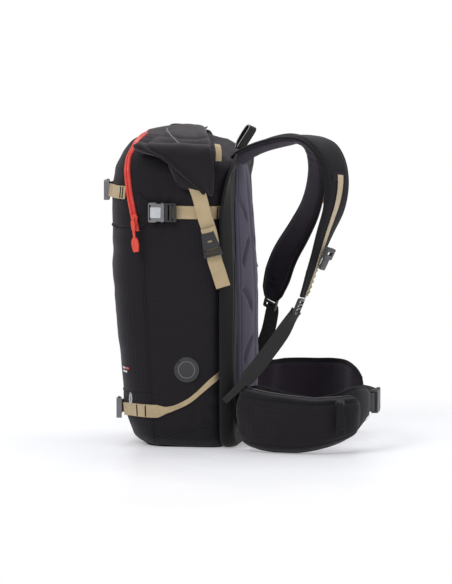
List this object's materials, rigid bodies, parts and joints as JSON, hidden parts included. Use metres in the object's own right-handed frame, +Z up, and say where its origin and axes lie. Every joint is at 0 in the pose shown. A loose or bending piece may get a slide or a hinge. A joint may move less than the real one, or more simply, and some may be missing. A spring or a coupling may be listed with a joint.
{
  "type": "avalanche airbag backpack",
  "caption": "Roll-top ski touring airbag backpack with foam back panel, padded shoulder straps, hip belt with pockets, zipped front flap and a gas-fired airbag system.",
  "frame": {"origin": "On the ground under the bag's base, at mid-width, 100 mm in front of the back panel's plane on the side away from the wearer.", "axes": "+X the way the wearer faces, from the bag to the harness. +Y the wearer's left. +Z up."},
  "size_m": [0.4619, 0.3947, 0.5429],
  "materials": {
    "pack_cloth": "matt black coated ripstop",
    "harness_cloth": "black stretch woven over foam, bound edges",
    "back_foam": "grey-violet moulded foam with a brushed face",
    "webbing_black": "woven black webbing",
    "webbing_tan": "woven sand-coloured webbing",
    "buckle_plastic": "black moulded acetal",
    "zip_red": "orange-red coated zip",
    "pull_red": "orange-red moulded plastic",
    "sheet_plastic": "natural polyethylene sheet",
    "airbag_nylon": "orange coated nylon",
    "cylinder_paint": "grey painted steel",
    "valve_metal": "machined",
    "hose_rubber": "smooth black"
  },
  "bodies": {
    "pack": {"base_panel": "pack_cloth", "front_panel": "pack_cloth", "side_panel_right": "pack_cloth", "side_panel_left": "pack_cloth", "front_zip": "zip_red", "lower_buckle_socket": "buckle_plastic", "lower_strap_right": "webbing_tan", "lower_strap_left": "webbing_tan", "roll_top": "pack_cloth", "back_gusset": "pack_cloth", "frame_sheet": "sheet_plastic", "back_panel": "back_foam", "airbag": "airbag_nylon", "gas_cylinder": "cylinder_paint", "release_valve": "valve_metal", "inflation_hose": "hose_rubber", "trigger_cable": "hose_rubber", "compression_socket_right": "buckle_plastic", "compression_strap_right": "webbing_tan", "shoulder_webbing_right": "webbing_black", "compression_socket_left": "buckle_plastic", "compression_strap_left": "webbing_tan", "shoulder_webbing_left": "webbing_black"},
    "front_flap": {"front_flap": "pack_cloth", "front_strap_right": "webbing_tan", "front_strap_left": "webbing_tan", "front_buckle_socket": "buckle_plastic"},
    "front_plug": {"front_buckle_plug": "buckle_plastic"},
    "lower_plug": {"lower_buckle_plug": "buckle_plastic"},
    "front_slider": {"front_zip_slider": "pull_red"},
    "front_pull": {"front_zip_pull": "pull_red"},
    "haul_loop": {"haul_loop": "webbing_black"},
    "compression_plug_right": {"compression_plug_right": "buckle_plastic"},
    "compression_plug_left": {"compression_plug_left": "buckle_plastic"},
    "roll_end_right": {"roll_end_right": "pack_cloth", "roll_strap_right": "webbing_tan", "roll_hook_right": "buckle_plastic"},
    "roll_end_left": {"roll_end_left": "pack_cloth", "roll_strap_left": "webbing_tan", "roll_hook_left": "buckle_plastic"},
    "strap_right": {"shoulder_strap_right": "harness_cloth", "strap_rail_right": "webbing_tan", "ladder_lock_right": "buckle_plastic"},
    "strap_left": {"shoulder_strap_left": "harness_cloth", "strap_rail_left": "webbing_tan", "ladder_lock_left": "buckle_plastic"},
    "sternum_clip_right": {"sternum_clip_right": "buckle_plastic"},
    "sternum_clip_left": {"sternum_clip_left": "buckle_plastic"},
    "trigger": {"trigger_handle": "pull_red"},
    "piercing_pin": {"piercing_pin": "valve_metal"},
    "belt_right": {"hip_wing_right": "harness_cloth", "hip_pocket_right": "pack_cloth", "hip_webbing_right": "webbing_black", "hip_buckle_socket": "buckle_plastic"},
    "belt_left": {"hip_wing_left": "harness_cloth", "hip_pocket_left": "pack_cloth", "hip_webbing_left": "webbing_black"},
    "hip_plug": {"hip_buckle_plug": "buckle_plastic"},
    "hip_slider": {"hip_zip_slider": "buckle_plastic"},
    "hip_tab": {"hip_zip_tab": "webbing_black"}
  },
  "joints": [
    {"name": "front_flap_open", "type": "hinge", "parent": "pack", "child": "front_flap", "pos_m": [-0.1245, 0, 0.372], "axis": [0, -1, 0], "range_deg": [0, 75]},
    {"name": "front_buckle_release", "type": "slide", "parent": "front_flap", "child": "front_plug", "axis": [-0.1086, 0.9941, 0], "range_m": [0, 0.025]},
    {"name": "lower_buckle_release", "type": "slide", "parent": "pack", "child": "lower_plug", "axis": [-0.1576, 0.9875, 0], "range_m": [0, 0.025]},
    {"name": "front_zip_run", "type": "slide", "parent": "pack", "child": "front_slider", "axis": [-0.1273, 0.0578, 0.9902], "range_m": [0, 0.044]},
    {"name": "front_zip_pull_swing", "type": "hinge", "parent": "front_slider", "child": "front_pull", "pos_m": [-0.07201, -0.15829, 0.38622], "axis": [-0.9591, 0.2472, -0.1377], "range_deg": [0, 110]},
    {"name": "haul_loop_swing", "type": "hinge", "parent": "pack", "child": "haul_loop", "pos_m": [0.09, 0, 0.504], "axis": [0, 1, 0], "range_deg": [-50, 60]},
    {"name": "compression_release_right", "type": "slide", "parent": "pack", "child": "compression_plug_right", "axis": [1, 0, 0], "range_m": [0, 0.025]},
    {"name": "compression_release_left", "type": "slide", "parent": "pack", "child": "compression_plug_left", "axis": [1, 0, 0], "range_m": [0, 0.025]},
    {"name": "roll_end_lift_right", "type": "hinge", "parent": "pack", "child": "roll_end_right", "pos_m": [0, -0.146, 0.52], "axis": [-1, 0, 0], "range_deg": [0, 100]},
    {"name": "roll_end_lift_left", "type": "hinge", "parent": "pack", "child": "roll_end_left", "pos_m": [0, 0.146, 0.52], "axis": [1, 0, 0], "range_deg": [0, 100]},
    {"name": "strap_swing_right", "type": "hinge", "parent": "pack", "child": "strap_right", "pos_m": [0.106, -0.052, 0.494], "axis": [0, -1, 0], "range_deg": [-12, 20]},
    {"name": "strap_swing_left", "type": "hinge", "parent": "pack", "child": "strap_left", "pos_m": [0.106, 0.052, 0.494], "axis": [0, -1, 0], "range_deg": [0, 25]},
    {"name": "sternum_slide_right", "type": "slide", "parent": "strap_right", "child": "sternum_clip_right", "axis": [-0.4126, -0.065, -0.9086], "range_m": [-0.015, 0.015]},
    {"name": "sternum_slide_left", "type": "slide", "parent": "strap_left", "child": "sternum_clip_left", "axis": [-0.3771, 0.1295, -0.9171], "range_m": [-0.015, 0.015]},
    {"name": "trigger_pull", "type": "slide", "parent": "strap_left", "child": "trigger", "axis": [-0.1077, 0.2088, -0.972], "range_m": [0, 0.025]},
    {"name": "piercing_pin_drop", "type": "slide", "parent": "pack", "child": "piercing_pin", "axis": [0, 0, -1], "range_m": [0, 0.008]},
    {"name": "belt_swing_right", "type": "hinge", "parent": "pack", "child": "belt_right", "pos_m": [0.116, -0.12, 0.06], "axis": [0, 0, -1], "range_deg": [0, 25]},
    {"name": "belt_swing_left", "type": "hinge", "parent": "pack", "child": "belt_left", "pos_m": [0.116, 0.12, 0.06], "axis": [0, 0, 1], "range_deg": [0, 25]},
    {"name": "hip_buckle_release", "type": "slide", "parent": "belt_right", "child": "hip_plug", "axis": [0, 1, 0], "range_m": [0, 0.024]},
    {"name": "hip_zip_run", "type": "hinge", "parent": "belt_right", "child": "hip_slider", "pos_m": [0.204, -0.05, 0.088], "axis": [0, 0, -1], "range_deg": [0, 45]},
    {"name": "hip_zip_tab_swing", "type": "hinge", "parent": "hip_slider", "child": "hip_tab", "pos_m": [0.2867, -0.19152, 0.088], "axis": [-0.8572, -0.515, 0], "range_deg": [0, 100]}
  ],
  "couplings": [
    {"joint": "piercing_pin_drop", "follows": "trigger_pull", "ratio": 0.3}
  ]
}
